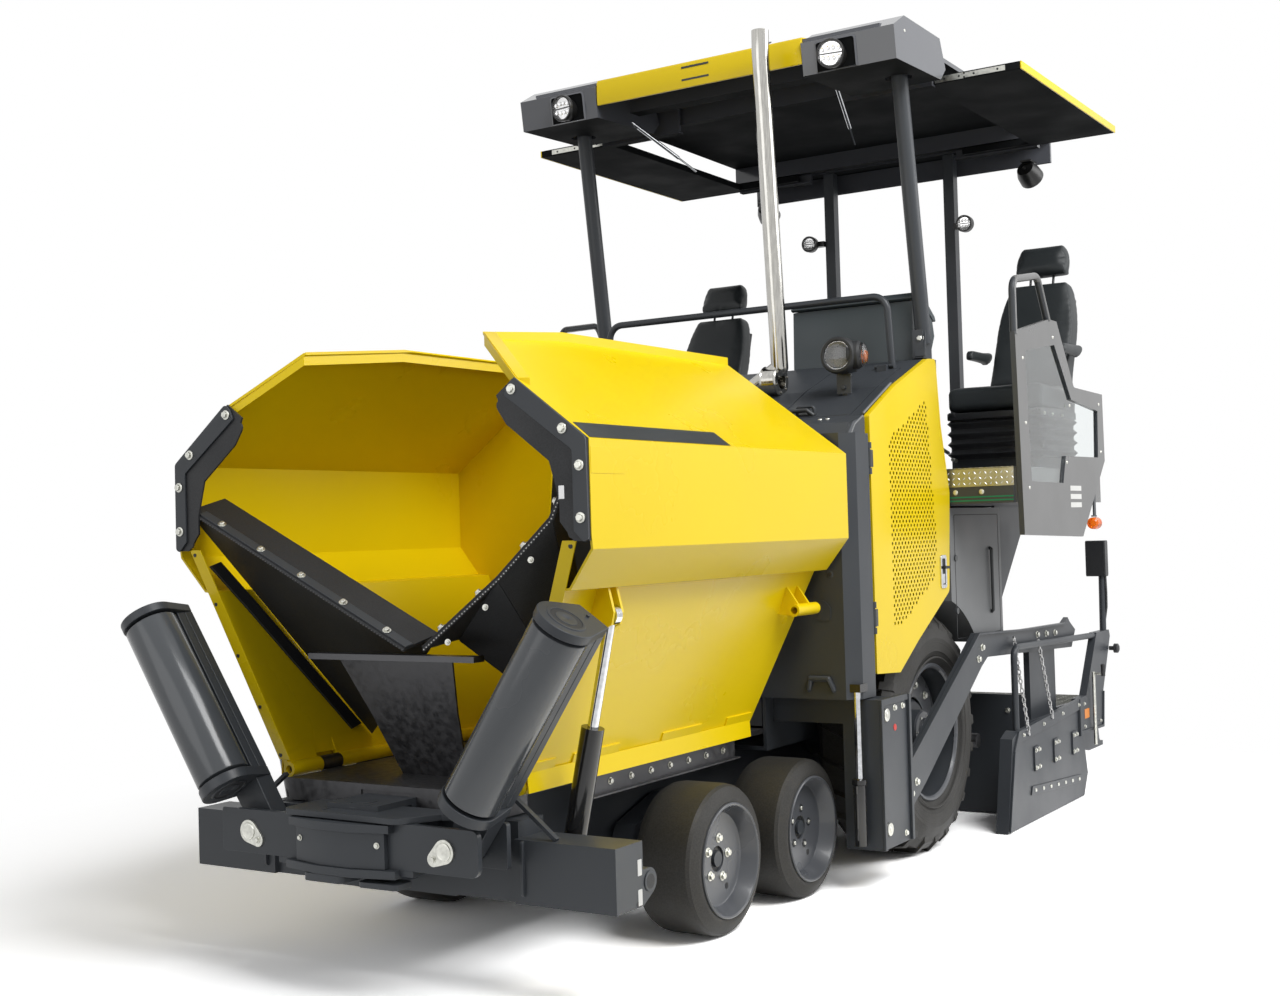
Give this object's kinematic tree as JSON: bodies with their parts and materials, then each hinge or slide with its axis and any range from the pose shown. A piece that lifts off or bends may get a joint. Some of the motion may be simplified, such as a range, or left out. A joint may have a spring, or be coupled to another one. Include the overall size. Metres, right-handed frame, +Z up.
{
  "type": "asphalt paver",
  "caption": "Small wheeled asphalt paver: front hopper with folding wings and push rollers, twin operator seats under a canopy, towed floating screed behind.",
  "frame": {"origin": "under the middle of the machine's bounding box, on the ground", "axes": "+Z up, +Y to the rear (screed), +X to the machine's left; the hopper faces -Y"},
  "size_m": [2.62, 5.395, 3.6249],
  "materials": {
    "yellow_paint": "gloss paint",
    "grey_paint": "satin paint",
    "iron": "bare casting",
    "steel": "bare steel",
    "rubber": "matte sheet",
    "chrome": "polished",
    "dark_plastic": "matte",
    "light_grey_paint": "satin paint",
    "lamp": "gloss",
    "tyre": "rubber"
  },
  "bodies": {
    "chassis": {"chassis_frame": "grey_paint", "hopper_base": "iron", "bogie_beams": "grey_paint", "hood": "grey_paint", "bulkhead": "grey_paint", "engine_block": "iron", "cabinet": "light_grey_paint", "deck": "grey_paint", "console": "dark_plastic", "handrail": "grey_paint", "exhaust": "steel", "roof_posts": "grey_paint", "roof_shell": "yellow_paint", "work_lamps": "lamp", "tow_rails": "grey_paint"},
    "push_beam": {"push_beam": "grey_paint"},
    "tow_carriage": {"tow_carriage": "grey_paint"},
    "screed": {"tow_arms": "grey_paint", "screed_body": "grey_paint", "screed_ends": "grey_paint", "screed_steps": "grey_paint"},
    "auger": {"auger": "iron"},
    "hood_lid": {"hood_lid": "grey_paint"},
    "push_arm_left": {"push_arm_left": "grey_paint"},
    "push_roller_left": {"push_roller_left": "grey_paint"},
    "wing_left": {"wing_left": "yellow_paint", "wing_edge_left": "rubber"},
    "wing_barrel_left": {"wing_barrel_left": "grey_paint"},
    "wing_rod_left": {"wing_rod_left": "chrome"},
    "rear_wheel_left": {"rear_tyre_left": "tyre", "rear_rim_left": "grey_paint"},
    "door_left": {"door_left": "yellow_paint"},
    "station_left": {"station_left": "grey_paint", "seat_left": "dark_plastic"},
    "roof_extension_left": {"roof_extension_left": "dark_plastic"},
    "knuckle_1_left": {"knuckle_1_left": "grey_paint"},
    "front_wheel_1_left": {"front_wheel_1_left": "tyre"},
    "knuckle_2_left": {"knuckle_2_left": "grey_paint"},
    "front_wheel_2_left": {"front_wheel_2_left": "tyre"},
    "push_arm_right": {"push_arm_right": "grey_paint"},
    "push_roller_right": {"push_roller_right": "grey_paint"},
    "wing_right": {"wing_right": "yellow_paint", "wing_edge_right": "rubber"},
    "wing_barrel_right": {"wing_barrel_right": "grey_paint"},
    "wing_rod_right": {"wing_rod_right": "chrome"},
    "rear_wheel_right": {"rear_tyre_right": "tyre", "rear_rim_right": "grey_paint"},
    "door_right": {"door_right": "yellow_paint"},
    "station_right": {"station_right": "grey_paint", "seat_right": "dark_plastic"},
    "roof_extension_right": {"roof_extension_right": "dark_plastic"},
    "knuckle_1_right": {"knuckle_1_right": "grey_paint"},
    "front_wheel_1_right": {"front_wheel_1_right": "tyre"},
    "knuckle_2_right": {"knuckle_2_right": "grey_paint"},
    "front_wheel_2_right": {"front_wheel_2_right": "tyre"}
  },
  "joints": [
    {"name": "push_beam_swing", "type": "hinge", "parent": "chassis", "child": "push_beam", "pos_m": [0, -2.4925, 0.5], "axis": [0, 0, 1], "range_deg": [-4, 4]},
    {"name": "hood_lid_hinge", "type": "hinge", "parent": "chassis", "child": "hood_lid", "pos_m": [0.65, 0.1175, 2.163], "axis": [-1, 0, 0], "range_deg": [0, 50]},
    {"name": "tow_carriage_slide", "type": "slide", "parent": "chassis", "child": "tow_carriage", "axis": [0, 0, 1], "range_m": [0, 0.2]},
    {"name": "screed_lift", "type": "hinge", "parent": "tow_carriage", "child": "screed", "pos_m": [0, -0.3675, 0.3], "axis": [1, 0, 0], "range_deg": [0, 8]},
    {"name": "auger_spin", "type": "hinge", "parent": "chassis", "child": "auger", "pos_m": [0, 1.0075, 0.4], "axis": [1, 0, 0], "continuous": true},
    {"name": "push_arm_fold_left", "type": "hinge", "parent": "push_beam", "child": "push_arm_left", "pos_m": [0.421, -2.4875, 0.498], "axis": [0, 1, 0], "range_deg": [0, 56]},
    {"name": "push_roller_spin_left", "type": "hinge", "parent": "push_arm_left", "child": "push_roller_left", "pos_m": [0.421, -2.6025, 0.498], "axis": [0.5592, 0, 0.829], "continuous": true},
    {"name": "wing_fold_left", "type": "hinge", "parent": "chassis", "child": "wing_left", "pos_m": [0.506, -1.5975, 0.66], "axis": [0, 1, 0], "range_deg": [0, 50]},
    {"name": "wing_barrel_turn_left", "type": "hinge", "parent": "chassis", "child": "wing_barrel_left", "pos_m": [0.6, -2.1725, 0.43], "axis": [0, 1, 0], "range_deg": [0, 42]},
    {"name": "wing_rod_slide_left", "type": "slide", "parent": "wing_barrel_left", "child": "wing_rod_left", "axis": [0.2216, 0, 0.9751], "range_m": [-0.18, 0.002]},
    {"name": "rear_wheel_spin_left", "type": "hinge", "parent": "chassis", "child": "rear_wheel_left", "pos_m": [0.685, 0.2725, 0.535], "axis": [1, 0, 0], "continuous": true},
    {"name": "door_hinge_left", "type": "hinge", "parent": "chassis", "child": "door_left", "pos_m": [0.9, -0.4355, 1.5], "axis": [0, 0, -1], "range_deg": [0, 95]},
    {"name": "station_slide_left", "type": "slide", "parent": "chassis", "child": "station_left", "axis": [1, 0, 0], "range_m": [-0.3, 0]},
    {"name": "roof_extension_slide_left", "type": "slide", "parent": "chassis", "child": "roof_extension_left", "axis": [1, 0, 0], "range_m": [-0.42, 0]},
    {"name": "steer_1_left", "type": "hinge", "parent": "chassis", "child": "knuckle_1_left", "pos_m": [0.425, -1.3925, 0.272], "axis": [0, 0, 1], "range_deg": [-15, 15]},
    {"name": "front_wheel_spin_1_left", "type": "hinge", "parent": "knuckle_1_left", "child": "front_wheel_1_left", "pos_m": [0.62, -1.3925, 0.272], "axis": [1, 0, 0], "continuous": true},
    {"name": "steer_2_left", "type": "hinge", "parent": "chassis", "child": "knuckle_2_left", "pos_m": [0.425, -0.7325, 0.272], "axis": [0, 0, 1], "range_deg": [-10, 10]},
    {"name": "front_wheel_spin_2_left", "type": "hinge", "parent": "knuckle_2_left", "child": "front_wheel_2_left", "pos_m": [0.62, -0.7325, 0.272], "axis": [1, 0, 0], "continuous": true},
    {"name": "push_arm_fold_right", "type": "hinge", "parent": "push_beam", "child": "push_arm_right", "pos_m": [-0.421, -2.4875, 0.498], "axis": [0, -1, 0], "range_deg": [0, 56]},
    {"name": "push_roller_spin_right", "type": "hinge", "parent": "push_arm_right", "child": "push_roller_right", "pos_m": [-0.421, -2.6025, 0.498], "axis": [-0.5592, 0, 0.829], "continuous": true},
    {"name": "wing_fold_right", "type": "hinge", "parent": "chassis", "child": "wing_right", "pos_m": [-0.506, -1.5975, 0.66], "axis": [0, -1, 0], "range_deg": [0, 50]},
    {"name": "wing_barrel_turn_right", "type": "hinge", "parent": "chassis", "child": "wing_barrel_right", "pos_m": [-0.6, -2.1725, 0.43], "axis": [0, -1, 0], "range_deg": [0, 42]},
    {"name": "wing_rod_slide_right", "type": "slide", "parent": "wing_barrel_right", "child": "wing_rod_right", "axis": [-0.2216, 0, 0.9751], "range_m": [-0.18, 0.002]},
    {"name": "rear_wheel_spin_right", "type": "hinge", "parent": "chassis", "child": "rear_wheel_right", "pos_m": [-0.685, 0.2725, 0.535], "axis": [1, 0, 0], "continuous": true},
    {"name": "door_hinge_right", "type": "hinge", "parent": "chassis", "child": "door_right", "pos_m": [-0.9, -0.4355, 1.5], "axis": [0, 0, 1], "range_deg": [0, 95]},
    {"name": "station_slide_right", "type": "slide", "parent": "chassis", "child": "station_right", "axis": [-1, 0, 0], "range_m": [-0.3, 0]},
    {"name": "roof_extension_slide_right", "type": "slide", "parent": "chassis", "child": "roof_extension_right", "axis": [-1, 0, 0], "range_m": [-0.42, 0]},
    {"name": "steer_1_right", "type": "hinge", "parent": "chassis", "child": "knuckle_1_right", "pos_m": [-0.425, -1.3925, 0.272], "axis": [0, 0, 1], "range_deg": [-15, 15]},
    {"name": "front_wheel_spin_1_right", "type": "hinge", "parent": "knuckle_1_right", "child": "front_wheel_1_right", "pos_m": [-0.62, -1.3925, 0.272], "axis": [1, 0, 0], "continuous": true},
    {"name": "steer_2_right", "type": "hinge", "parent": "chassis", "child": "knuckle_2_right", "pos_m": [-0.425, -0.7325, 0.272], "axis": [0, 0, 1], "range_deg": [-10, 10]},
    {"name": "front_wheel_spin_2_right", "type": "hinge", "parent": "knuckle_2_right", "child": "front_wheel_2_right", "pos_m": [-0.62, -0.7325, 0.272], "axis": [1, 0, 0], "continuous": true}
  ],
  "couplings": [
    {"joint": "wing_barrel_turn_left", "follows": "wing_fold_left", "ratio": 0.79},
    {"joint": "wing_rod_slide_left", "follows": "wing_fold_left", "m_per_rad": -0.1907},
    {"joint": "wing_barrel_turn_right", "follows": "wing_fold_right", "ratio": 0.79},
    {"joint": "wing_rod_slide_right", "follows": "wing_fold_right", "m_per_rad": -0.1907},
    {"joint": "steer_1_right", "follows": "steer_1_left", "ratio": 1},
    {"joint": "steer_2_left", "follows": "steer_1_left", "ratio": 0.6},
    {"joint": "steer_2_right", "follows": "steer_1_left", "ratio": 0.6}
  ]
}
